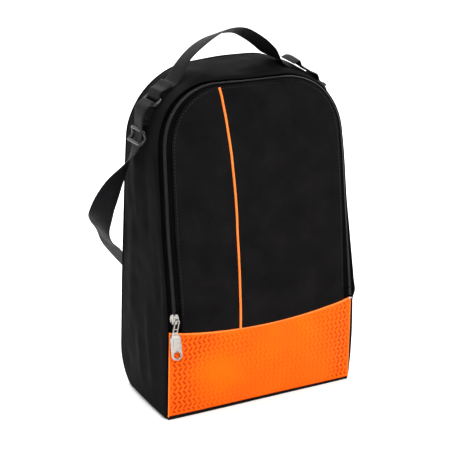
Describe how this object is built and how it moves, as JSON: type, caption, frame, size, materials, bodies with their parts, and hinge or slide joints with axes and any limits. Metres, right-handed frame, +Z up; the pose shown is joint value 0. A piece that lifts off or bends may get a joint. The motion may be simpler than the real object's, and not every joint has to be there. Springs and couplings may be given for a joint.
{
  "type": "shoe bag",
  "caption": "Wedge-shaped fabric shoe bag with a zipped front flap, an orange lower front panel, a webbing carry handle and an adjustable shoulder strap.",
  "frame": {"origin": "centre of the footprint, on the underside of the flat base", "axes": "+Z up, the front with the zipped flap faces -Y, +X is to the right as seen from the front"},
  "size_m": [0.2709, 0.1545, 0.3814],
  "materials": {
    "black_cloth": "woven black polyester, matt with a soft sheen",
    "orange_cloth": "orange laminated cloth, embossed with small slanted dents",
    "orange_piping": "lighter orange folded edge",
    "zip_black": "black zip tape and nylon coil",
    "webbing": "black ribbed polypropylene webbing",
    "nickel": "bright nickel plate",
    "black_plastic": "moulded black plastic",
    "base_board": "grey plastic board"
  },
  "bodies": {
    "bag": {"gusset": "black_cloth", "back_panel": "black_cloth", "base_panel": "black_cloth", "base_board": "base_board", "lower_front_panel": "orange_cloth", "lower_panel_hem": "orange_piping", "front_seam_binding": "black_cloth", "back_seam_binding": "black_cloth", "outer_zip_tape": "zip_black", "outer_zip_coil": "zip_black", "zip_stop_left": "nickel", "zip_stop_right": "nickel", "handle_anchor_left": "webbing", "handle_anchor_right": "webbing", "ring_tab_left": "webbing", "ring_tab_right": "webbing", "handle_leg_left": "webbing", "handle_leg_right": "webbing", "left_ring": "black_plastic", "right_ring": "black_plastic", "strap_lead": "webbing", "strap_sewn_end": "webbing"},
    "flap": {"flap_left_panel": "black_cloth", "flap_right_panel": "black_cloth", "flap_piping": "orange_piping", "inner_zip_tape": "zip_black", "inner_zip_coil": "zip_black"},
    "slider": {"zip_slider": "nickel"},
    "pull": {"pull_link": "nickel", "pull_tab": "nickel"},
    "handle": {"carry_handle": "webbing"},
    "strap": {"strap_webbing": "webbing", "strap_return": "webbing"},
    "adjuster": {"strap_adjuster": "black_plastic"}
  },
  "joints": [
    {"name": "flap_fold", "type": "hinge", "parent": "bag", "child": "flap", "pos_m": [0, -0.05925, 0.097], "axis": [1, 0, 0], "range_deg": [0, 112]},
    {"name": "zip_slide", "type": "slide", "parent": "bag", "child": "slider", "axis": [0.0123, 0.1055, 0.9943], "range_m": [0, 0.15]},
    {"name": "pull_swing", "type": "hinge", "parent": "slider", "child": "pull", "pos_m": [-0.09914, -0.06345, 0.11001], "axis": [-1, 0, 0], "range_deg": [0, 165]},
    {"name": "handle_fold", "type": "hinge", "parent": "bag", "child": "handle", "pos_m": [0, 0, 0.3395], "axis": [1, 0, 0], "range_deg": [-55, 55], "deforming": ["handle_leg_left", "handle_leg_right"]},
    {"name": "strap_lift", "type": "hinge", "parent": "bag", "child": "strap", "pos_m": [0, 0, 0.3171], "axis": [1, 0, 0], "range_deg": [0, 170], "deforming": ["strap_lead", "strap_sewn_end"]},
    {"name": "adjuster_slide", "type": "slide", "parent": "strap", "child": "adjuster", "axis": [0.0995, 0, 0.995], "range_m": [0, 0.012], "deforming": ["strap_return"]}
  ]
}
